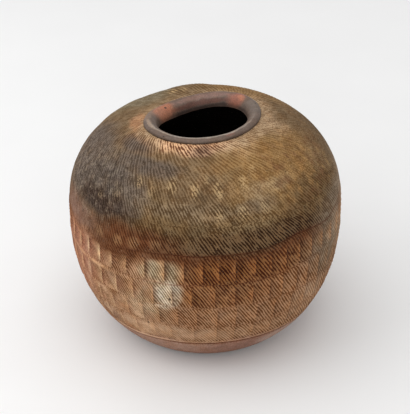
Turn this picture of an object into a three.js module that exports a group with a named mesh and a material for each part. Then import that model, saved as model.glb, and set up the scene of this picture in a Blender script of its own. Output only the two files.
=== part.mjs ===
// A round, hand-built stoneware vase with a small off-centre mouth.
// It is laid out as its maker builds it: a slab for the floor, one course of clay
// on another up to the mouth, and a thick coil rolled over the edge of the mouth.
// Each course is cut on the slant where it is luted to the next, so they nest.
// Sizes are in millimetres, +Z is up, and z = 0 is the face that the vase stands on.
// The vase faces -Y. A bearing is an angle about +Z, from +X towards +Y.
import * as THREE from "three";

// The body as a whole
const foot_radius = 78.5;
const belly_radius = 135;
const belly_height = 124;
const neck_radius = 57.7;
const wall = 8;

// How full the round of the body is: 2 is an ellipse, and more is squarer
const bowl_fullness = 2.27;
const dome_fullness = 2.48;

// The height of each clay member, from the floor up
const slab_thickness = 10;
const bowl_rise = 28;
const lowest_course_rise = 28;
const lower_course_rise = 24;
const middle_course_rise = 25.5;
const upper_course_rise = 32;
const lower_shoulder_rise = 28;
const upper_shoulder_rise = 55;

// Seams between the members
const scarf_run = 6;
const slip_gap = 0.4;

// The line that is cut round the vase, where the bare bowl ends
const line_depth = 1.4;
const line_half_width = 1.3;

// Hollows that the paddle left side by side in the four middle courses.
// Each falls steeply from its crest to its deepest place, and climbs slowly to the next.
const scoops_round = 47;
const scoop_depth = 1.8;
const scoop_deepest = 0.315;

// Creases between the courses, and how far their edges round over above and below
const lowest_crease_depth = 0.5;
const lower_crease_depth = 0.6;
const middle_crease_depth = 0.9;
const upper_crease_depth = 1.5;
const crease_round_above = 5;
const crease_round_below = 2.5;

// The rim coil: its round bead overhangs the shoulder, a little clear of it. In front it
// is thinner, by a share, with the bearing and the spread of that part in degrees.
// Its throat reaches down the inside, and further in than the wall that it sits on.
const bead_half_width = 5.4;
const bead_rise = 4.4;
const bead_thinning = 0.22;
const thinning_bearing = -100;
const thinning_spread = 75;
const bead_overhang = 1.2;
const bead_clearance = 0.4;
const throat_overhang = 3.8;
const throat_drop = 7.5;

// The foot's worn lower edge
const foot_bevel = 2;

// The mouth is a little oval, flattened on its back left, and off the body's axis.
// The oval and the flats are shares of its radius, and bearings are in degrees.
// The throat is flattened more than the outside of the rim, by its own share.
const mouth_oval = 0.02;
const mouth_oval_bearing = 81;
const mouth_flat = 0.045;
const throat_flat = 0.076;
const mouth_flat_bearing = 134;
const mouth_flat_spread = 80;
const mouth_shift_x = -4.1;
const mouth_shift_y = -7.1;

// The upper body leans: it climbs by these shares of x and y, and the mouth by one more
const lean_x = 0.008;
const lean_y = -0.033;
const mouth_lean_x = 0.034;

// The strong crease under the shoulder climbs round the wall to the right
const crease_lean = 0.041;

// The back left of the upper shoulder is sunk, with the rim, and swells beside it
const dent_depth = 10.3;
const dent_bearing = 124;
const dent_spread = 63;
const swell_rise = 5.5;
const swell_bearing = 105;
const swell_spread = 54;

// Rings of points along the outlines, as shares of a member's height
const course_inside = [0.65];
const upper_shoulder_outside = [0.25, 0.48, 0.66, 0.8, 0.9];
const upper_shoulder_inside = [0.9, 0.75, 0.55, 0.35];
const bead_steps = 3;
const throat_steps = 6;

// Heights of the seams
const bowl_top = slab_thickness + bowl_rise;
const lowest_top = bowl_top + lowest_course_rise;
const lower_top = lowest_top + lower_course_rise;
const middle_top = lower_top + middle_course_rise;
const upper_top = middle_top + upper_course_rise;
const shoulder_seam = upper_top + lower_shoulder_rise;
const neck_height = shoulder_seam + upper_shoulder_rise;
const seams = [slab_thickness, bowl_top, lowest_top, lower_top, middle_top, upper_top, shoulder_seam];

// Where a seam wanders: it rises by so much at a bearing, with a spread in degrees
const seam_waves = [
  { seam: bowl_top, bearing: -128, spread: 10, rise: -2.5 },
  { seam: bowl_top, bearing: -72, spread: 26, rise: 1.4 },
  { seam: bowl_top, bearing: 60, spread: 30, rise: 1.5 },
  { seam: bowl_top, bearing: 140, spread: 20, rise: -1.5 },
  { seam: lowest_top, bearing: -140, spread: 14, rise: 1 },
  { seam: lowest_top, bearing: 20, spread: 25, rise: -1.2 },
  { seam: lowest_top, bearing: 110, spread: 18, rise: 1.2 },
  { seam: lower_top, bearing: -70, spread: 16, rise: 0.8 },
  { seam: lower_top, bearing: 45, spread: 20, rise: 1.4 },
  { seam: lower_top, bearing: 150, spread: 22, rise: -1.3 },
  { seam: middle_top, bearing: -151, spread: 7, rise: -1.6 },
  { seam: middle_top, bearing: -86, spread: 12, rise: 1.2 },
  { seam: middle_top, bearing: -38, spread: 26, rise: 4 },
  { seam: middle_top, bearing: 75, spread: 25, rise: -2 },
  { seam: middle_top, bearing: 150, spread: 16, rise: 1.5 },
  { seam: upper_top, bearing: -154, spread: 6, rise: -4.5 },
  { seam: upper_top, bearing: -132, spread: 8, rise: -4 },
  { seam: upper_top, bearing: -106, spread: 8, rise: 1.5 },
  { seam: upper_top, bearing: -70, spread: 11, rise: -1.9 },
  { seam: upper_top, bearing: -50, spread: 5, rise: 1.8 },
  { seam: upper_top, bearing: -29, spread: 10, rise: -5 },
  { seam: upper_top, bearing: 30, spread: 20, rise: 2 },
  { seam: upper_top, bearing: 100, spread: 18, rise: -2.5 },
  { seam: upper_top, bearing: 160, spread: 12, rise: 1.5 },
];

// The courses with paddled hollows: how deep theirs are as a share of the deepest, the
// creases under and over them, and the bearings of the crests in front, in degrees
const paddled_courses = [
  {
    name: "paddled_course_lowest",
    bottom: bowl_top,
    top: lowest_top,
    hollow: 0.55,
    creases: [line_depth, lowest_crease_depth],
    crests: [-146, -138, -130, -122, -113, -105, -95, -85, -77, -68.5, -59.5, -50.5, -42],
    colour: "#a9835c",
  },
  {
    name: "paddled_course_lower",
    bottom: lowest_top,
    top: lower_top,
    hollow: 0.65,
    creases: [lowest_crease_depth, lower_crease_depth],
    crests: [-148, -140.5, -132.5, -124.5, -117, -109.5, -101.5, -93.5, -85, -77, -68, -59.5, -51, -43],
    colour: "#a57a50",
  },
  {
    name: "paddled_course_middle",
    bottom: lower_top,
    top: middle_top,
    hollow: 0.8,
    creases: [lower_crease_depth, middle_crease_depth],
    crests: [
      -152.5, -145.5, -137.5, -129, -120.5, -111.5, -103.5, -95.5, -86, -78, -70.5, -63, -57, -49.5,
      -43.5,
    ],
    colour: "#9a6d47",
  },
  {
    name: "paddled_course_upper",
    bottom: middle_top,
    top: upper_top,
    hollow: 1,
    creases: [middle_crease_depth, upper_crease_depth],
    crests: [
      -152.5, -145.5, -138, -131, -123.5, -115, -106.5, -98.5, -91, -84.5, -78, -69.5, -62.5, -55.5,
      -48.5, -41.5,
    ],
    colour: "#8f6443",
  },
];

// Radius of the middle of the rim's bead, and of its throat
const bead_middle = neck_radius + bead_overhang - bead_half_width;
const throat_radius = neck_radius - wall - throat_overhang;

// Columns of faces round every member, two to a scoop, so that seams match
const columns = 2 * scoops_round;

// Radius of the outside at a height, before the scoops and the lean
function outside_radius(height) {
  const above = height > belly_height;
  const reach = above ? neck_height - belly_height : belly_height;
  const end_radius = above ? neck_radius : foot_radius;
  const power = above ? dome_fullness : bowl_fullness;
  const semi_height = reach / (1 - (end_radius / belly_radius) ** power) ** (1 / power);
  const part = Math.abs(height - belly_height) / semi_height;
  return belly_radius * (1 - part ** power) ** (1 / power);
}

// A point of an outline: its radius, its height, and the height of the wall that it is
// part of, measured on the outside. Through the wall, the last one stays the same.
function place(radius, height, wall_height) {
  return new THREE.Vector3(radius, height, wall_height);
}

function outside(height) {
  return place(outside_radius(height), height, height);
}

// Direction up the wall at a height, as radius and height
function up_the_wall(height) {
  const step = 0.5;
  const run = outside_radius(height + step) - outside_radius(height - step);
  return place(run, 2 * step, 0).normalize();
}

function out_of_the_wall(height) {
  const up = up_the_wall(height);
  return place(up.y, -up.x, 0);
}

function inside(height) {
  return outside(height).addScaledVector(out_of_the_wall(height), -wall);
}

// A slanted seam: its edge outside, and its edge inside, further up the wall.
// The member above starts one slip_gap up the wall from the member below.
function seam_outside(height, gap) {
  return outside(height).addScaledVector(up_the_wall(height), gap);
}

function seam_inside(height, gap) {
  return inside(height).addScaledVector(up_the_wall(height), scarf_run + gap);
}

// A seam's edge outside, sunk into the wall by the depth of the crease there
function crease(height, gap, depth) {
  return seam_outside(height, gap).addScaledVector(out_of_the_wall(height), -depth);
}

// Outline of a course between two seams, with extra points on its outside and inside
function course_outline({ bottom, top, creases }, outside_heights, inside_shares) {
  return [
    crease(bottom, slip_gap, creases[0]),
    ...outside_heights.map(outside),
    crease(top, 0, creases[1]),
    seam_inside(top, 0),
    ...inside_shares.map((share) => inside(bottom + share * (top - bottom))),
    seam_inside(bottom, slip_gap),
  ];
}

// The lowest course's lower edge is half of the cut line
function paddled_outline(course) {
  const middle = (course.bottom + course.top) / 2;
  const heights = [course.bottom + crease_round_above, middle, course.top - crease_round_below];
  if (course.bottom === bowl_top) heights.unshift(bowl_top + slip_gap + line_half_width);
  return course_outline(course, heights, course_inside);
}

function lower_shoulder_outline() {
  const course = { bottom: upper_top, top: shoulder_seam, creases: [upper_crease_depth, 0] };
  const heights = [upper_top + crease_round_above, (upper_top + shoulder_seam) / 2];
  return course_outline(course, heights, course_inside);
}

function upper_shoulder_outline() {
  const course = { bottom: shoulder_seam, top: neck_height, creases: [0, 0] };
  const heights = upper_shoulder_outside.map((share) => shoulder_seam + share * upper_shoulder_rise);
  return course_outline(course, heights, upper_shoulder_inside);
}

function base_slab_outline() {
  return [
    place(0, 0, 0),
    place(foot_radius - foot_bevel, 0, 0),
    outside(foot_bevel),
    outside(slab_thickness),
    place(0, slab_thickness, slab_thickness),
  ];
}

function foot_bowl_outline() {
  const foot_inside = place(inside(slab_thickness).x, slab_thickness, slab_thickness);
  return [
    outside(slab_thickness),
    outside(slab_thickness + bowl_rise / 3),
    outside(slab_thickness + (2 * bowl_rise) / 3),
    seam_outside(bowl_top, -line_half_width),
    crease(bowl_top, 0, line_depth),
    seam_inside(bowl_top, 0),
    inside(slab_thickness + bowl_rise / 2),
    foot_inside,
  ];
}

// Height of the lower edge of the rim's bead
function bead_foot() {
  return seam_outside(neck_height, slip_gap).y + bead_clearance;
}

// The rim coil: a quarter of an ellipse up the bead's outside, and a steeper one from its
// top down the inside to the throat
function rim_coil_outline() {
  const seat_outside = seam_outside(neck_height, slip_gap);
  const seat_inside = seam_inside(neck_height, slip_gap);
  const bead = Array.from({ length: bead_steps + 1 }, (_, i) => {
    const angle = (Math.PI * i) / (2 * bead_steps);
    const radius = bead_middle + bead_half_width * Math.cos(angle);
    return place(radius, bead_foot() + bead_rise * Math.sin(angle), neck_height);
  });
  const throat = Array.from({ length: throat_steps }, (_, i) => {
    const angle = (Math.PI * (i + 1)) / (2 * throat_steps);
    const radius = bead_middle - (bead_middle - throat_radius) * Math.sin(angle);
    const rise = (bead_rise + throat_drop) * Math.cos(angle);
    return place(radius, bead_foot() - throat_drop + rise, neck_height);
  });
  return [seat_outside, ...bead, ...throat, seat_inside];
}

// Bearing of an evenly spaced column, in degrees: the first is in front
function column_bearing(column) {
  return (360 * column) / columns - 90;
}

// The column nearest to a course's first crest, once all its crests are set against
// every other column
function first_crest_column(crests) {
  const misfits = crests.map((crest, i) => crest - column_bearing(2 * i));
  const misfit = misfits.reduce((sum, one) => sum + one, 0) / crests.length;
  return Math.round((misfit * columns) / 360);
}

// Bearing of a crest, or by turns of the deepest place of its hollow, in degrees. Steps go
// round from the first crest, and the crests that aren't given are spread evenly behind.
function scoop_bearing(step, crests) {
  const hollow = Math.floor(step / 2);
  const last_given = crests.length - 1;
  const width_behind = (crests[0] + 360 - crests[last_given]) / (scoops_round - last_given);
  const given = hollow < last_given;
  const crest = given ? crests[hollow] : crests[last_given] + (hollow - last_given) * width_behind;
  const width = given ? crests[hollow + 1] - crest : width_behind;
  return crest + (step % 2) * scoop_deepest * width;
}

// Turns a point of a paddled course towards its crest, and sinks it into its hollow. Both
// are full half way up the course, and end at its seams.
function paddled(column, height, course) {
  const share = (height - course.bottom) / (course.top - course.bottom);
  const step = (column - first_crest_column(course.crests) + columns) % columns;
  const off_column = scoop_bearing(step, course.crests) - column_bearing(column);
  const turn = THREE.MathUtils.euclideanModulo(off_column + 180, 360) - 180;
  const depth = scoop_depth * course.hollow * Math.sin(Math.PI * share) ** 0.7;
  return { turn: 4 * share * (1 - share) * turn, depth: (step % 2) * depth };
}

// A bump that fades on both sides of a centre bearing, given in degrees
function fade_round(bearing, centre, spread) {
  const away = bearing - THREE.MathUtils.degToRad(centre);
  const wrapped = Math.atan2(Math.sin(away), Math.cos(away));
  return Math.exp(-((wrapped / THREE.MathUtils.degToRad(spread)) ** 2));
}

// Share of the way from one value to another, from 0 to 1
function share_between(value, low, high) {
  return THREE.MathUtils.clamp((value - low) / (high - low), 0, 1);
}

// Share of its own radius that the mouth has at a bearing, from the rim to the throat
function mouth_outline(bearing, radius) {
  const oval = mouth_oval * Math.cos(2 * (bearing - THREE.MathUtils.degToRad(mouth_oval_bearing)));
  const flat = mouth_flat + throat_flat * share_between(radius, bead_middle, throat_radius);
  return 1 + oval - flat * fade_round(bearing, mouth_flat_bearing, mouth_flat_spread);
}

// Share of its thickness that the rim's bead has at a bearing
function bead_share(bearing) {
  return 1 - bead_thinning * fade_round(bearing, thinning_bearing, thinning_spread);
}

// Height that the upper shoulder gains in its swell and loses in its dent
function shoulder_bump(bearing, height) {
  const share = share_between(height, shoulder_seam, neck_height) ** 2;
  const dent = dent_depth * fade_round(bearing, dent_bearing, dent_spread) * share;
  const swell = swell_rise * fade_round(bearing, swell_bearing, swell_spread);
  return swell * Math.sin(Math.PI * share) - dent;
}

// How far the wall is pushed up along itself by the crease's own slope
function crease_slide(x, height) {
  const below_crease = THREE.MathUtils.smoothstep(height, middle_top, upper_top);
  const above_crease = 1 - THREE.MathUtils.smoothstep(height, upper_top, shoulder_seam);
  return Math.min(below_crease, above_crease) * crease_lean * x;
}

// How far the wall is pushed up along itself so that its seams wander
function seam_slide(bearing, height) {
  return seam_waves.reduce((slide, { seam, bearing: centre, spread, rise }) => {
    const place_in_list = seams.indexOf(seam);
    const below = THREE.MathUtils.smoothstep(height, seams[place_in_list - 1], seam);
    const above = 1 - THREE.MathUtils.smoothstep(height, seam, seams[place_in_list + 1]);
    return slide + rise * Math.min(below, above) * fade_round(bearing, centre, spread);
  }, 0);
}

// Whether a point is on a paddled course's outside, off its seams
function is_paddled(radius, wall_height, course) {
  const on_the_outside = radius > outside_radius(wall_height) - wall / 4;
  return on_the_outside && wall_height > course.bottom && wall_height < course.top;
}

// Moves a point of the turned form to its place on the hand-built one
function hand_built(point, wall_height, column, course) {
  let bearing = THREE.MathUtils.degToRad(column_bearing(column));
  let radius = Math.hypot(point.x, point.y);
  if (course && is_paddled(radius, wall_height, course)) {
    const { turn, depth } = paddled(column, wall_height, course);
    bearing += THREE.MathUtils.degToRad(turn);
    radius -= depth;
  }
  if (wall_height === neck_height && point.z > bead_foot() - bead_clearance / 2) {
    radius = Math.min(radius, bead_middle + (radius - bead_middle) * bead_share(bearing));
    point.z = bead_foot() + (point.z - bead_foot()) * bead_share(bearing);
  }
  const slide = crease_slide(radius * Math.cos(bearing), wall_height) + seam_slide(bearing, wall_height);
  radius += outside_radius(wall_height + slide) - outside_radius(wall_height);
  const mouth_share = share_between(wall_height, upper_top, neck_height) ** 3;
  radius *= 1 + mouth_share * (mouth_outline(bearing, radius) - 1);
  point.x = radius * Math.cos(bearing) + mouth_share * mouth_shift_x;
  point.y = radius * Math.sin(bearing) + mouth_share * mouth_shift_y;
  const body_share = THREE.MathUtils.smoothstep(wall_height, bowl_top, upper_top);
  const climb_x = body_share * lean_x + mouth_share * mouth_lean_x;
  const climb_y = body_share * lean_y;
  point.z += slide + shoulder_bump(bearing, wall_height) + climb_x * point.x + climb_y * point.y;
}

// Turns an outline about the upright axis and gives it its hand-built shape
function built(outline, course) {
  const closes_on_itself = outline[0].x > 0;
  const profile = closes_on_itself ? [...outline, outline[0].clone()] : outline;
  const geometry = new THREE.LatheGeometry(profile, columns);
  geometry.rotateX(Math.PI / 2);
  const position = geometry.attributes.position;
  const point = new THREE.Vector3();
  for (let i = 0; i < position.count; i += 1) {
    point.fromBufferAttribute(position, i);
    const column = Math.floor(i / profile.length) % columns;
    hand_built(point, profile[i % profile.length].z, column, course);
    position.setXYZ(i, point.x, point.y, point.z);
  }
  geometry.computeVertexNormals();
  return geometry;
}

function fired_clay(colour, roughness) {
  return new THREE.MeshStandardMaterial({ color: colour, roughness, metalness: 0 });
}

const vase = new THREE.Group();

function add(name, geometry, material) {
  const mesh = new THREE.Mesh(geometry, material);
  mesh.name = name;
  vase.add(mesh);
}

add("base_slab", built(base_slab_outline()), fired_clay("#8a5a45", 0.9));
add("foot_bowl", built(foot_bowl_outline()), fired_clay("#96614a", 0.85));

for (const course of paddled_courses) {
  add(course.name, built(paddled_outline(course), course), fired_clay(course.colour, 0.85));
}

add("lower_shoulder", built(lower_shoulder_outline()), fired_clay("#6b5238", 0.8));
add("upper_shoulder", built(upper_shoulder_outline()), fired_clay("#7a6743", 0.8));
add("rim_coil", built(rim_coil_outline()), fired_clay("#5c4a40", 0.7));

export default vase;
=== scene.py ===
import math

import bpy
import numpy as np
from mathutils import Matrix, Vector


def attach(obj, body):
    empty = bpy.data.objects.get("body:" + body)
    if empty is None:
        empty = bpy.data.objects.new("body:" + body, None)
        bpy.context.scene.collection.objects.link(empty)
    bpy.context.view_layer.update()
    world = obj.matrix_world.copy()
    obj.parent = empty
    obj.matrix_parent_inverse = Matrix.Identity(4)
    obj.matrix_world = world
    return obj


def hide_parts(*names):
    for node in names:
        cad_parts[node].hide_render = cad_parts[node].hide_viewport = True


# A round, hand-built stoneware vase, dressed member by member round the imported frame.
# Form sizes are in millimetres and are those of the solids. Meshes are written in metres.
# The vase faces -Y. A bearing is an angle about +Z, from +X towards +Y: -90 is the front.
# A place round the vase is a bearing and a spread, both in degrees.
METRE = 1000

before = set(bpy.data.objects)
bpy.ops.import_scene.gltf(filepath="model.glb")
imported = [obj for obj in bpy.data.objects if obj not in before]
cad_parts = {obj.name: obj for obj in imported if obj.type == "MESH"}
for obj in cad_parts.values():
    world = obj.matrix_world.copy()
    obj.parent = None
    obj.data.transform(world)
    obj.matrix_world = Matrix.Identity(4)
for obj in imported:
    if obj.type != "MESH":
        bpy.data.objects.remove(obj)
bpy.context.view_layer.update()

# The body as a whole
FOOT_RADIUS = 78.5
BELLY_RADIUS = 135
BELLY_HEIGHT = 124
NECK_RADIUS = 57.7
WALL = 8
BOWL_FULLNESS = 2.27
DOME_FULLNESS = 2.48

# Heights of the seams between the clay members
SLAB_TOP = 10
BOWL_TOP = 38
LOWEST_TOP = 66
LOWER_TOP = 90
MIDDLE_TOP = 115.5
UPPER_TOP = 147.5
SHOULDER_SEAM = 175.5
NECK_HEIGHT = 230.5

# Seams
SCARF_RUN = 6
SLIP_GAP = 0.4
FOOT_BEVEL = 2

# The rim coil
BEAD_HALF_WIDTH = 5.4
BEAD_RISE = 4.4
BEAD_OVERHANG = 1.2
BEAD_CLEARANCE = 0.4
THROAT_OVERHANG = 3.8
THROAT_DROP = 7.5
BEAD_THINNING = 0.22
THINNING_PLACE = (-100, 75)
BEAD_MIDDLE = NECK_RADIUS + BEAD_OVERHANG - BEAD_HALF_WIDTH
THROAT_RADIUS = NECK_RADIUS - WALL - THROAT_OVERHANG

# The mouth's oval, flats and shift, the lean, and the dent and swell of the shoulder
MOUTH_OVAL = 0.02
MOUTH_OVAL_BEARING = 81
MOUTH_FLAT = 0.045
THROAT_FLAT = 0.076
MOUTH_FLAT_PLACE = (134, 80)
MOUTH_SHIFT = (-4.1, -7.1)
LEAN = (0.008, -0.033)
MOUTH_LEAN_X = 0.034
CREASE_LEAN = 0.041
DENT_DEPTH = 10.3
DENT_PLACE = (124, 63)
SWELL_RISE = 5.5
SWELL_PLACE = (105, 54)


def share_between(value, low, high):
    return np.clip((value - low) / (high - low), 0, 1)


def smooth_between(value, low, high):
    share = share_between(value, low, high)
    return share * share * (3 - 2 * share)


def degrees_from(bearing, centre):
    """How far a bearing lies from a centre bearing given in degrees, the short way round."""
    away = bearing - math.radians(centre)
    return np.degrees(np.arctan2(np.sin(away), np.cos(away)))


def fade_round(bearing, centre, spread):
    return np.exp(-((degrees_from(bearing, centre) / spread) ** 2))


def outside_radius(height):
    """Radius of the outside at a height, before the marks of making."""
    height = np.asarray(height, float)
    above = height > BELLY_HEIGHT
    reach = np.where(above, NECK_HEIGHT - BELLY_HEIGHT, BELLY_HEIGHT)
    end_radius = np.where(above, NECK_RADIUS, FOOT_RADIUS)
    power = np.where(above, DOME_FULLNESS, BOWL_FULLNESS)
    semi_height = reach / (1 - (end_radius / BELLY_RADIUS) ** power) ** (1 / power)
    part = np.abs(height - BELLY_HEIGHT) / semi_height
    return BELLY_RADIUS * (1 - part**power) ** (1 / power)


def wall_directions(height):
    """Unit directions up the wall and out of it, each as radius and height."""
    step = 0.5
    run = outside_radius(height + step) - outside_radius(height - step)
    length = np.hypot(run, 2 * step)
    up = np.stack([run / length, 2 * step / length])
    return up, np.stack([up[1], -up[0]])


def on_the_wall(height, out=0.0, up=0.0):
    """Radius and height of a place off the outside, out of the wall and up along it."""
    along, away = wall_directions(np.asarray(height, float))
    radius = outside_radius(height) + out * away[0] + up * along[0]
    return radius, height + out * away[1] + up * along[1]


# Distance along the outside of the wall, from the floor up
WALL_HEIGHTS = np.linspace(0, NECK_HEIGHT, 600)
WALL_RUNS = np.hypot(np.diff(outside_radius(WALL_HEIGHTS)), np.diff(WALL_HEIGHTS))
WALL_ARCS = np.concatenate([[0], np.cumsum(WALL_RUNS)])


def arc(height):
    return np.interp(height, WALL_HEIGHTS, WALL_ARCS)


def mouth_outline(bearing, radius):
    """Share of its own radius that the mouth has at a bearing."""
    oval = MOUTH_OVAL * np.cos(2 * (bearing - math.radians(MOUTH_OVAL_BEARING)))
    flat = MOUTH_FLAT + THROAT_FLAT * share_between(radius, BEAD_MIDDLE, THROAT_RADIUS)
    return 1 + oval - flat * fade_round(bearing, *MOUTH_FLAT_PLACE)


def shoulder_bump(bearing, height):
    share = share_between(height, SHOULDER_SEAM, NECK_HEIGHT) ** 2
    dent = DENT_DEPTH * fade_round(bearing, *DENT_PLACE) * share
    swell = SWELL_RISE * fade_round(bearing, *SWELL_PLACE)
    return swell * np.sin(math.pi * share) - dent


def crease_slide(x, height):
    below_crease = smooth_between(height, MIDDLE_TOP, UPPER_TOP)
    above_crease = 1 - smooth_between(height, UPPER_TOP, SHOULDER_SEAM)
    return np.minimum(below_crease, above_crease) * CREASE_LEAN * x


# Where a seam wanders up or down the wall: bearing, spread in degrees, rise in millimetres
SEAM_WAVES = {
    BOWL_TOP: ((-128, 10, -2.5), (-72, 26, 1.4), (60, 30, 1.5), (140, 20, -1.5)),
    LOWEST_TOP: ((-140, 14, 1), (20, 25, -1.2), (110, 18, 1.2)),
    LOWER_TOP: ((-70, 16, 0.8), (45, 20, 1.4), (150, 22, -1.3)),
    MIDDLE_TOP: ((-151, 7, -1.6), (-86, 12, 1.2), (-38, 26, 4), (75, 25, -2), (150, 16, 1.5)),
    UPPER_TOP: ((-154, 6, -4.5), (-132, 8, -4), (-106, 8, 1.5), (-70, 11, -1.9), (-50, 5, 1.8),
                (-29, 10, -5), (30, 20, 2), (100, 18, -2.5), (160, 12, 1.5)),
}
SEAMS = (SLAB_TOP, BOWL_TOP, LOWEST_TOP, LOWER_TOP, MIDDLE_TOP, UPPER_TOP, SHOULDER_SEAM)


def seam_wave(bearing, height):
    """How far the wall's pattern is slid up at a place, so that its seams wander."""
    slid = 0
    for below, seam, above in zip(SEAMS, SEAMS[1:], SEAMS[2:]):
        near = np.minimum(smooth_between(height, below, seam), smooth_between(height, above, seam))
        for centre, spread, rise in SEAM_WAVES[seam]:
            slid = slid + rise * near * fade_round(bearing, centre, spread)
    return slid


def hand_built(radius, height, bearing, wall_height):
    """Places of the turned form's points on the hand-built one."""
    slide = crease_slide(radius * np.cos(bearing), wall_height) + seam_wave(bearing, wall_height)
    radius = radius + outside_radius(wall_height + slide) - outside_radius(wall_height)
    mouth_share = share_between(wall_height, UPPER_TOP, NECK_HEIGHT) ** 3
    radius = radius * (1 + mouth_share * (mouth_outline(bearing, radius) - 1))
    x = radius * np.cos(bearing) + mouth_share * MOUTH_SHIFT[0]
    y = radius * np.sin(bearing) + mouth_share * MOUTH_SHIFT[1]
    body_share = smooth_between(wall_height, BOWL_TOP, UPPER_TOP)
    climb = (body_share * LEAN[0] + mouth_share * MOUTH_LEAN_X) * x + body_share * LEAN[1] * y
    z = height + slide + shoulder_bump(bearing, wall_height) + climb
    return np.stack([x, y, z], -1)


def lattice_noise(across, along, cells_round, seed):
    """Smooth noise from -1 to 1 on a lattice that closes after a number of cells."""
    cells_round = max(4, round(cells_round))
    lowest = math.floor(np.min(along))
    rows = math.ceil(np.max(along)) - lowest + 2
    lattice = np.random.default_rng(seed).uniform(-1, 1, (rows, cells_round))
    column, row = np.floor(across).astype(int), np.floor(along).astype(int) - lowest
    u, v = across - np.floor(across), along - np.floor(along)
    u, v = u * u * (3 - 2 * u), v * v * (3 - 2 * v)
    left, right = column % cells_round, (column + 1) % cells_round
    below = lattice[row, left] * (1 - u) + lattice[row, right] * u
    above = lattice[row + 1, left] * (1 - u) + lattice[row + 1, right] * u
    return below * (1 - v) + above * v


def cloud(bearing, height, size, seed, octaves=3):
    """Smooth noise from -1 to 1 over the wall, with blots about size millimetres across."""
    total, weight = 0, 0
    for octave in range(octaves):
        strength = 0.5**octave
        cells_round = round(2 * math.pi * BELLY_RADIUS / (size * strength))
        across = bearing / (2 * math.pi) * cells_round
        along = arc(height) / (size * strength)
        total = total + strength * lattice_noise(across, along, cells_round, seed + octave)
        weight += strength
    return total / weight


# Tones of the fired clay, from 0 to 255: on the ridges of the tool marks, and in the grooves.
# Two are painted light: the sheen at the edge and the shade at the foot.
CLAYS = {
    "ash_grey": ((111, 98, 88), (79, 66, 56)),
    "charcoal": ((74, 60, 52), (48, 35, 27)),
    "slate": ((102, 90, 81), (72, 61, 52)),
    "olive": ((128, 105, 78), (98, 75, 50)),
    "gold": ((156, 122, 79), (124, 91, 51)),
    "khaki": ((112, 90, 62), (80, 58, 33)),
    "dust": ((136, 116, 92), (84, 64, 42)),
    "pale_gold": ((160, 136, 104), (128, 102, 72)),
    "straw": ((182, 154, 122), (130, 102, 74)),
    "fan_tan": ((218, 176, 138), (110, 72, 50)),
    "fan_pale": ((220, 188, 152), (142, 112, 86)),
    "fan_mauve": ((150, 118, 94), (80, 54, 40)),
    "flame_tan": ((184, 140, 104), (130, 88, 60)),
    "grey_olive": ((134, 124, 104), (104, 91, 68)),
    # painted sheen of the edges
    "painted_edge_sheen": ((170, 150, 130), (136, 115, 94)),
    "rust": ((102, 64, 40), (74, 40, 19)),
    "rose": ((126, 98, 84), (108, 79, 63)),
    "umber": ((108, 85, 60), (46, 26, 11)),
    "orange": ((124, 83, 47), (54, 19, 5)),
    "pale_ash": ((208, 197, 178), (136, 123, 102)),
    "cream": ((176, 142, 114), (128, 94, 66)),
    "bisque": ((176, 144, 116), (154, 121, 93)),
    "rose_tan": ((160, 120, 92), (116, 78, 57)),
    "ash_wash": ((182, 163, 134), (112, 96, 72)),
    "belt_pale": ((184, 166, 134), (80, 62, 42)),
    "rose_clay": ((176, 124, 100), (136, 92, 74)),
    # painted shade at the foot's bottom edge
    "painted_foot_shade": ((96, 68, 56), (84, 58, 47)),
    "tan": ((159, 122, 92), (94, 57, 29)),
    "grey_tan": ((130, 114, 96), (102, 83, 64)),
    "terracotta": ((153, 122, 106), (136, 104, 87)),
    "terracotta_grey": ((142, 107, 93), (120, 86, 70)),
    "terracotta_pale": ((166, 142, 130), (148, 122, 110)),
}

# What the wall is like between the blushes, from the floor up: height and clay. The lowest
# band is painted shade at the foot's bottom edge.
CLAY_BANDS = (
    (0, "painted_foot_shade"), (9, "terracotta_grey"), (34, "terracotta"), (41, "tan"), (125, "tan"), (143, "rust"),
    (155, "umber"), (172, "khaki"), (190, "khaki"), (212, "olive"), (224, "olive"), (229, "straw"),
)
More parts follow.
